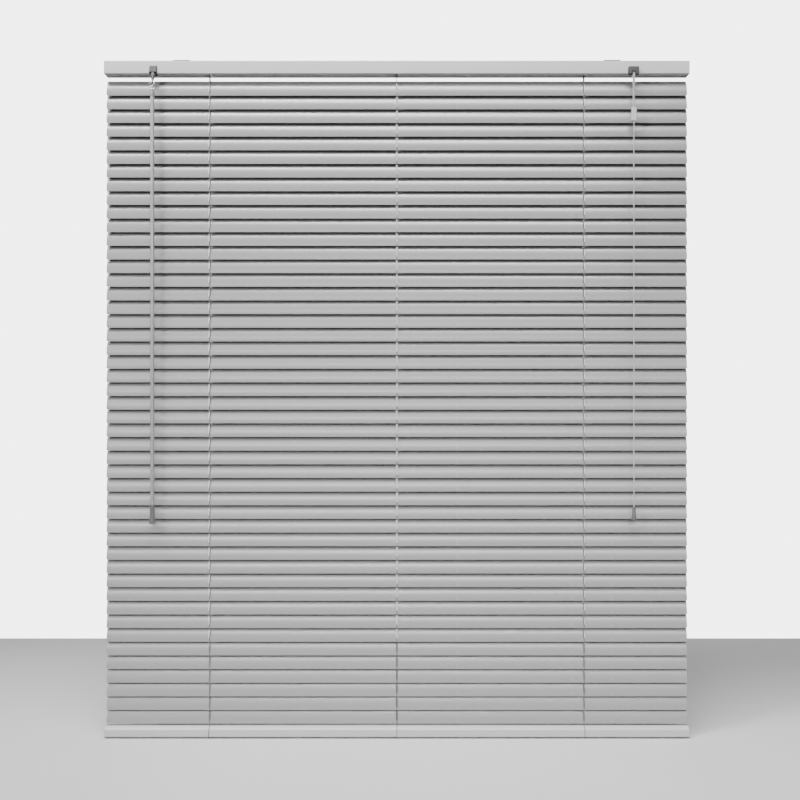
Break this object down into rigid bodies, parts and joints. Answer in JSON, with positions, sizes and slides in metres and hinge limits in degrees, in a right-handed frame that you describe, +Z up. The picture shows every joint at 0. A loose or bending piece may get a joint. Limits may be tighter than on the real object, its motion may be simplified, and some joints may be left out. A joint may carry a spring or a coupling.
{
  "type": "venetian blind",
  "caption": "Window blind of curved horizontal metal slats on cord ladders, with a slim headrail, a tilt wand and a lift cord.",
  "frame": {"origin": "centre of the two mounting brackets' top faces, where they meet the head of the window recess", "axes": "+X along the headrail towards the lift cord's side, -Y towards the room, +Z up"},
  "size_m": [0.897, 0.036, 1.039],
  "materials": {
    "slat_paint": "satin white stove enamel on thin aluminium",
    "rail_paint": "satin white paint on steel sheet",
    "fitting_plastic": "moulded grey plastic",
    "bracket_steel": "zinc-plated steel",
    "rod_steel": "bright steel rod with plastic drums",
    "stem_plastic": "dark grey moulded plastic",
    "hook_wire": "bright wire",
    "wand_plastic": "clear moulded plastic",
    "cord": "braided polyester cord",
    "cord_fitting": "clear moulded plastic"
  },
  "bodies": {
    "headrail_assembly": {"headrail": "rail_paint", "headrail_fittings": "fitting_plastic", "mounting_brackets": "bracket_steel", "bottom_rail": "rail_paint", "lift_cords": "cord", "pull_cord": "cord", "pull_cord_fittings": "cord_fitting"},
    "tilt_shaft": {"tilt_rod_and_drums": "rod_steel"},
    "worm_stem": {"tilt_worm": "stem_plastic"},
    "wand_hook": {"wand_hook": "hook_wire"},
    "wand": {"wand": "wand_plastic"},
    "slat_01": {"slat_01": "slat_paint"},
    "slat_02": {"slat_02": "slat_paint"},
    "slat_03": {"slat_03": "slat_paint"},
    "slat_04": {"slat_04": "slat_paint"},
    "slat_05": {"slat_05": "slat_paint"},
    "slat_06": {"slat_06": "slat_paint"},
    "slat_07": {"slat_07": "slat_paint"},
    "slat_08": {"slat_08": "slat_paint"},
    "slat_09": {"slat_09": "slat_paint"},
    "slat_10": {"slat_10": "slat_paint"},
    "slat_11": {"slat_11": "slat_paint"},
    "slat_12": {"slat_12": "slat_paint"},
    "slat_13": {"slat_13": "slat_paint"},
    "slat_14": {"slat_14": "slat_paint"},
    "slat_15": {"slat_15": "slat_paint"},
    "slat_16": {"slat_16": "slat_paint"},
    "slat_17": {"slat_17": "slat_paint"},
    "slat_18": {"slat_18": "slat_paint"},
    "slat_19": {"slat_19": "slat_paint"},
    "slat_20": {"slat_20": "slat_paint"},
    "slat_21": {"slat_21": "slat_paint"},
    "slat_22": {"slat_22": "slat_paint"},
    "slat_23": {"slat_23": "slat_paint"},
    "slat_24": {"slat_24": "slat_paint"},
    "slat_25": {"slat_25": "slat_paint"},
    "slat_26": {"slat_26": "slat_paint"},
    "slat_27": {"slat_27": "slat_paint"},
    "slat_28": {"slat_28": "slat_paint"},
    "slat_29": {"slat_29": "slat_paint"},
    "slat_30": {"slat_30": "slat_paint"},
    "slat_31": {"slat_31": "slat_paint"},
    "slat_32": {"slat_32": "slat_paint"},
    "slat_33": {"slat_33": "slat_paint"},
    "slat_34": {"slat_34": "slat_paint"},
    "slat_35": {"slat_35": "slat_paint"},
    "slat_36": {"slat_36": "slat_paint"},
    "slat_37": {"slat_37": "slat_paint"},
    "slat_38": {"slat_38": "slat_paint"},
    "slat_39": {"slat_39": "slat_paint"},
    "slat_40": {"slat_40": "slat_paint"},
    "slat_41": {"slat_41": "slat_paint"},
    "slat_42": {"slat_42": "slat_paint"},
    "slat_43": {"slat_43": "slat_paint"},
    "slat_44": {"slat_44": "slat_paint"},
    "slat_45": {"slat_45": "slat_paint"},
    "slat_46": {"slat_46": "slat_paint"},
    "slat_47": {"slat_47": "slat_paint"},
    "ladder_front": {"ladder_front_cords": "cord"},
    "ladder_back": {"ladder_back_cords": "cord"}
  },
  "joints": [
    {"name": "tilt_rod_turn", "type": "hinge", "parent": "headrail_assembly", "child": "tilt_shaft", "pos_m": [0, 0.0015, -0.011], "axis": [-1, 0, 0], "range_deg": [0, 240]},
    {"name": "tilt_worm_turn", "type": "hinge", "parent": "headrail_assembly", "child": "worm_stem", "pos_m": [-0.373, -0.00617, -0.00758], "axis": [0, -0.4067, -0.9135], "range_deg": [0, 2880]},
    {"name": "wand_hook_turn", "type": "hinge", "parent": "headrail_assembly", "child": "wand_hook", "pos_m": [-0.373, -0.01899, -0.03636], "axis": [0, 0, -1], "range_deg": [0, 2880]},
    {"name": "wand_swing", "type": "hinge", "parent": "wand_hook", "child": "wand", "pos_m": [-0.373, -0.01899, -0.0464], "axis": [-1, 0, 0], "range_deg": [0, 60]},
    {"name": "slat_01_tilt", "type": "hinge", "parent": "headrail_assembly", "child": "slat_01", "pos_m": [0, 0, -0.04085], "axis": [-1, 0, 0], "range_deg": [0, 144]},
    {"name": "slat_02_tilt", "type": "hinge", "parent": "headrail_assembly", "child": "slat_02", "pos_m": [0, 0, -0.06185], "axis": [-1, 0, 0], "range_deg": [0, 144]},
    {"name": "slat_03_tilt", "type": "hinge", "parent": "headrail_assembly", "child": "slat_03", "pos_m": [0, 0, -0.08285], "axis": [-1, 0, 0], "range_deg": [0, 144]},
    {"name": "slat_04_tilt", "type": "hinge", "parent": "headrail_assembly", "child": "slat_04", "pos_m": [0, 0, -0.10385], "axis": [-1, 0, 0], "range_deg": [0, 144]},
    {"name": "slat_05_tilt", "type": "hinge", "parent": "headrail_assembly", "child": "slat_05", "pos_m": [0, 0, -0.12485], "axis": [-1, 0, 0], "range_deg": [0, 144]},
    {"name": "slat_06_tilt", "type": "hinge", "parent": "headrail_assembly", "child": "slat_06", "pos_m": [0, 0, -0.14585], "axis": [-1, 0, 0], "range_deg": [0, 144]},
    {"name": "slat_07_tilt", "type": "hinge", "parent": "headrail_assembly", "child": "slat_07", "pos_m": [0, 0, -0.16685], "axis": [-1, 0, 0], "range_deg": [0, 144]},
    {"name": "slat_08_tilt", "type": "hinge", "parent": "headrail_assembly", "child": "slat_08", "pos_m": [0, 0, -0.18785], "axis": [-1, 0, 0], "range_deg": [0, 144]},
    {"name": "slat_09_tilt", "type": "hinge", "parent": "headrail_assembly", "child": "slat_09", "pos_m": [0, 0, -0.20885], "axis": [-1, 0, 0], "range_deg": [0, 144]},
    {"name": "slat_10_tilt", "type": "hinge", "parent": "headrail_assembly", "child": "slat_10", "pos_m": [0, 0, -0.22985], "axis": [-1, 0, 0], "range_deg": [0, 144]},
    {"name": "slat_11_tilt", "type": "hinge", "parent": "headrail_assembly", "child": "slat_11", "pos_m": [0, 0, -0.25085], "axis": [-1, 0, 0], "range_deg": [0, 144]},
    {"name": "slat_12_tilt", "type": "hinge", "parent": "headrail_assembly", "child": "slat_12", "pos_m": [0, 0, -0.27185], "axis": [-1, 0, 0], "range_deg": [0, 144]},
    {"name": "slat_13_tilt", "type": "hinge", "parent": "headrail_assembly", "child": "slat_13", "pos_m": [0, 0, -0.29285], "axis": [-1, 0, 0], "range_deg": [0, 144]},
    {"name": "slat_14_tilt", "type": "hinge", "parent": "headrail_assembly", "child": "slat_14", "pos_m": [0, 0, -0.31385], "axis": [-1, 0, 0], "range_deg": [0, 144]},
    {"name": "slat_15_tilt", "type": "hinge", "parent": "headrail_assembly", "child": "slat_15", "pos_m": [0, 0, -0.33485], "axis": [-1, 0, 0], "range_deg": [0, 144]},
    {"name": "slat_16_tilt", "type": "hinge", "parent": "headrail_assembly", "child": "slat_16", "pos_m": [0, 0, -0.35585], "axis": [-1, 0, 0], "range_deg": [0, 144]},
    {"name": "slat_17_tilt", "type": "hinge", "parent": "headrail_assembly", "child": "slat_17", "pos_m": [0, 0, -0.37685], "axis": [-1, 0, 0], "range_deg": [0, 144]},
    {"name": "slat_18_tilt", "type": "hinge", "parent": "headrail_assembly", "child": "slat_18", "pos_m": [0, 0, -0.39785], "axis": [-1, 0, 0], "range_deg": [0, 144]},
    {"name": "slat_19_tilt", "type": "hinge", "parent": "headrail_assembly", "child": "slat_19", "pos_m": [0, 0, -0.41885], "axis": [-1, 0, 0], "range_deg": [0, 144]},
    {"name": "slat_20_tilt", "type": "hinge", "parent": "headrail_assembly", "child": "slat_20", "pos_m": [0, 0, -0.43985], "axis": [-1, 0, 0], "range_deg": [0, 144]},
    {"name": "slat_21_tilt", "type": "hinge", "parent": "headrail_assembly", "child": "slat_21", "pos_m": [0, 0, -0.46085], "axis": [-1, 0, 0], "range_deg": [0, 144]},
    {"name": "slat_22_tilt", "type": "hinge", "parent": "headrail_assembly", "child": "slat_22", "pos_m": [0, 0, -0.48185], "axis": [-1, 0, 0], "range_deg": [0, 144]},
    {"name": "slat_23_tilt", "type": "hinge", "parent": "headrail_assembly", "child": "slat_23", "pos_m": [0, 0, -0.50285], "axis": [-1, 0, 0], "range_deg": [0, 144]},
    {"name": "slat_24_tilt", "type": "hinge", "parent": "headrail_assembly", "child": "slat_24", "pos_m": [0, 0, -0.52385], "axis": [-1, 0, 0], "range_deg": [0, 144]},
    {"name": "slat_25_tilt", "type": "hinge", "parent": "headrail_assembly", "child": "slat_25", "pos_m": [0, 0, -0.54485], "axis": [-1, 0, 0], "range_deg": [0, 144]},
    {"name": "slat_26_tilt", "type": "hinge", "parent": "headrail_assembly", "child": "slat_26", "pos_m": [0, 0, -0.56585], "axis": [-1, 0, 0], "range_deg": [0, 144]},
    {"name": "slat_27_tilt", "type": "hinge", "parent": "headrail_assembly", "child": "slat_27", "pos_m": [0, 0, -0.58685], "axis": [-1, 0, 0], "range_deg": [0, 144]},
    {"name": "slat_28_tilt", "type": "hinge", "parent": "headrail_assembly", "child": "slat_28", "pos_m": [0, 0, -0.60785], "axis": [-1, 0, 0], "range_deg": [0, 144]},
    {"name": "slat_29_tilt", "type": "hinge", "parent": "headrail_assembly", "child": "slat_29", "pos_m": [0, 0, -0.62885], "axis": [-1, 0, 0], "range_deg": [0, 144]},
    {"name": "slat_30_tilt", "type": "hinge", "parent": "headrail_assembly", "child": "slat_30", "pos_m": [0, 0, -0.64985], "axis": [-1, 0, 0], "range_deg": [0, 144]},
    {"name": "slat_31_tilt", "type": "hinge", "parent": "headrail_assembly", "child": "slat_31", "pos_m": [0, 0, -0.67085], "axis": [-1, 0, 0], "range_deg": [0, 144]},
    {"name": "slat_32_tilt", "type": "hinge", "parent": "headrail_assembly", "child": "slat_32", "pos_m": [0, 0, -0.69185], "axis": [-1, 0, 0], "range_deg": [0, 144]},
    {"name": "slat_33_tilt", "type": "hinge", "parent": "headrail_assembly", "child": "slat_33", "pos_m": [0, 0, -0.71285], "axis": [-1, 0, 0], "range_deg": [0, 144]},
    {"name": "slat_34_tilt", "type": "hinge", "parent": "headrail_assembly", "child": "slat_34", "pos_m": [0, 0, -0.73385], "axis": [-1, 0, 0], "range_deg": [0, 144]},
    {"name": "slat_35_tilt", "type": "hinge", "parent": "headrail_assembly", "child": "slat_35", "pos_m": [0, 0, -0.75485], "axis": [-1, 0, 0], "range_deg": [0, 144]},
    {"name": "slat_36_tilt", "type": "hinge", "parent": "headrail_assembly", "child": "slat_36", "pos_m": [0, 0, -0.77585], "axis": [-1, 0, 0], "range_deg": [0, 144]},
    {"name": "slat_37_tilt", "type": "hinge", "parent": "headrail_assembly", "child": "slat_37", "pos_m": [0, 0, -0.79685], "axis": [-1, 0, 0], "range_deg": [0, 144]},
    {"name": "slat_38_tilt", "type": "hinge", "parent": "headrail_assembly", "child": "slat_38", "pos_m": [0, 0, -0.81785], "axis": [-1, 0, 0], "range_deg": [0, 144]},
    {"name": "slat_39_tilt", "type": "hinge", "parent": "headrail_assembly", "child": "slat_39", "pos_m": [0, 0, -0.83885], "axis": [-1, 0, 0], "range_deg": [0, 144]},
    {"name": "slat_40_tilt", "type": "hinge", "parent": "headrail_assembly", "child": "slat_40", "pos_m": [0, 0, -0.85985], "axis": [-1, 0, 0], "range_deg": [0, 144]},
    {"name": "slat_41_tilt", "type": "hinge", "parent": "headrail_assembly", "child": "slat_41", "pos_m": [0, 0, -0.88085], "axis": [-1, 0, 0], "range_deg": [0, 144]},
    {"name": "slat_42_tilt", "type": "hinge", "parent": "headrail_assembly", "child": "slat_42", "pos_m": [0, 0, -0.90185], "axis": [-1, 0, 0], "range_deg": [0, 144]},
    {"name": "slat_43_tilt", "type": "hinge", "parent": "headrail_assembly", "child": "slat_43", "pos_m": [0, 0, -0.92285], "axis": [-1, 0, 0], "range_deg": [0, 144]},
    {"name": "slat_44_tilt", "type": "hinge", "parent": "headrail_assembly", "child": "slat_44", "pos_m": [0, 0, -0.94385], "axis": [-1, 0, 0], "range_deg": [0, 144]},
    {"name": "slat_45_tilt", "type": "hinge", "parent": "headrail_assembly", "child": "slat_45", "pos_m": [0, 0, -0.96485], "axis": [-1, 0, 0], "range_deg": [0, 144]},
    {"name": "slat_46_tilt", "type": "hinge", "parent": "headrail_assembly", "child": "slat_46", "pos_m": [0, 0, -0.98585], "axis": [-1, 0, 0], "range_deg": [0, 144]},
    {"name": "slat_47_tilt", "type": "hinge", "parent": "headrail_assembly", "child": "slat_47", "pos_m": [0, 0, -1.00685], "axis": [-1, 0, 0], "range_deg": [0, 144]},
    {"name": "ladder_front_level", "type": "hinge", "parent": "slat_01", "child": "ladder_front", "pos_m": [0, -0.0047, -0.05531], "axis": [-1, 0, 0], "range_deg": [-144, 0]},
    {"name": "ladder_back_level", "type": "hinge", "parent": "slat_01", "child": "ladder_back", "pos_m": [0, 0.0047, -0.02639], "axis": [-1, 0, 0], "range_deg": [-144, 0]}
  ],
  "couplings": [
    {"joint": "tilt_worm_turn", "follows": "tilt_rod_turn", "ratio": 12},
    {"joint": "wand_hook_turn", "follows": "tilt_rod_turn", "ratio": 12},
    {"joint": "slat_01_tilt", "follows": "tilt_rod_turn", "ratio": 0.6},
    {"joint": "slat_02_tilt", "follows": "tilt_rod_turn", "ratio": 0.6},
    {"joint": "slat_03_tilt", "follows": "tilt_rod_turn", "ratio": 0.6},
    {"joint": "slat_04_tilt", "follows": "tilt_rod_turn", "ratio": 0.6},
    {"joint": "slat_05_tilt", "follows": "tilt_rod_turn", "ratio": 0.6},
    {"joint": "slat_06_tilt", "follows": "tilt_rod_turn", "ratio": 0.6},
    {"joint": "slat_07_tilt", "follows": "tilt_rod_turn", "ratio": 0.6},
    {"joint": "slat_08_tilt", "follows": "tilt_rod_turn", "ratio": 0.6},
    {"joint": "slat_09_tilt", "follows": "tilt_rod_turn", "ratio": 0.6},
    {"joint": "slat_10_tilt", "follows": "tilt_rod_turn", "ratio": 0.6},
    {"joint": "slat_11_tilt", "follows": "tilt_rod_turn", "ratio": 0.6},
    {"joint": "slat_12_tilt", "follows": "tilt_rod_turn", "ratio": 0.6},
    {"joint": "slat_13_tilt", "follows": "tilt_rod_turn", "ratio": 0.6},
    {"joint": "slat_14_tilt", "follows": "tilt_rod_turn", "ratio": 0.6},
    {"joint": "slat_15_tilt", "follows": "tilt_rod_turn", "ratio": 0.6},
    {"joint": "slat_16_tilt", "follows": "tilt_rod_turn", "ratio": 0.6},
    {"joint": "slat_17_tilt", "follows": "tilt_rod_turn", "ratio": 0.6},
    {"joint": "slat_18_tilt", "follows": "tilt_rod_turn", "ratio": 0.6},
    {"joint": "slat_19_tilt", "follows": "tilt_rod_turn", "ratio": 0.6},
    {"joint": "slat_20_tilt", "follows": "tilt_rod_turn", "ratio": 0.6},
    {"joint": "slat_21_tilt", "follows": "tilt_rod_turn", "ratio": 0.6},
    {"joint": "slat_22_tilt", "follows": "tilt_rod_turn", "ratio": 0.6},
    {"joint": "slat_23_tilt", "follows": "tilt_rod_turn", "ratio": 0.6},
    {"joint": "slat_24_tilt", "follows": "tilt_rod_turn", "ratio": 0.6},
    {"joint": "slat_25_tilt", "follows": "tilt_rod_turn", "ratio": 0.6},
    {"joint": "slat_26_tilt", "follows": "tilt_rod_turn", "ratio": 0.6},
    {"joint": "slat_27_tilt", "follows": "tilt_rod_turn", "ratio": 0.6},
    {"joint": "slat_28_tilt", "follows": "tilt_rod_turn", "ratio": 0.6},
    {"joint": "slat_29_tilt", "follows": "tilt_rod_turn", "ratio": 0.6},
    {"joint": "slat_30_tilt", "follows": "tilt_rod_turn", "ratio": 0.6},
    {"joint": "slat_31_tilt", "follows": "tilt_rod_turn", "ratio": 0.6},
    {"joint": "slat_32_tilt", "follows": "tilt_rod_turn", "ratio": 0.6},
    {"joint": "slat_33_tilt", "follows": "tilt_rod_turn", "ratio": 0.6},
    {"joint": "slat_34_tilt", "follows": "tilt_rod_turn", "ratio": 0.6},
    {"joint": "slat_35_tilt", "follows": "tilt_rod_turn", "ratio": 0.6},
    {"joint": "slat_36_tilt", "follows": "tilt_rod_turn", "ratio": 0.6},
    {"joint": "slat_37_tilt", "follows": "tilt_rod_turn", "ratio": 0.6},
    {"joint": "slat_38_tilt", "follows": "tilt_rod_turn", "ratio": 0.6},
    {"joint": "slat_39_tilt", "follows": "tilt_rod_turn", "ratio": 0.6},
    {"joint": "slat_40_tilt", "follows": "tilt_rod_turn", "ratio": 0.6},
    {"joint": "slat_41_tilt", "follows": "tilt_rod_turn", "ratio": 0.6},
    {"joint": "slat_42_tilt", "follows": "tilt_rod_turn", "ratio": 0.6},
    {"joint": "slat_43_tilt", "follows": "tilt_rod_turn", "ratio": 0.6},
    {"joint": "slat_44_tilt", "follows": "tilt_rod_turn", "ratio": 0.6},
    {"joint": "slat_45_tilt", "follows": "tilt_rod_turn", "ratio": 0.6},
    {"joint": "slat_46_tilt", "follows": "tilt_rod_turn", "ratio": 0.6},
    {"joint": "slat_47_tilt", "follows": "tilt_rod_turn", "ratio": 0.6},
    {"joint": "ladder_front_level", "follows": "tilt_rod_turn", "ratio": -0.6},
    {"joint": "ladder_back_level", "follows": "tilt_rod_turn", "ratio": -0.6}
  ]
}
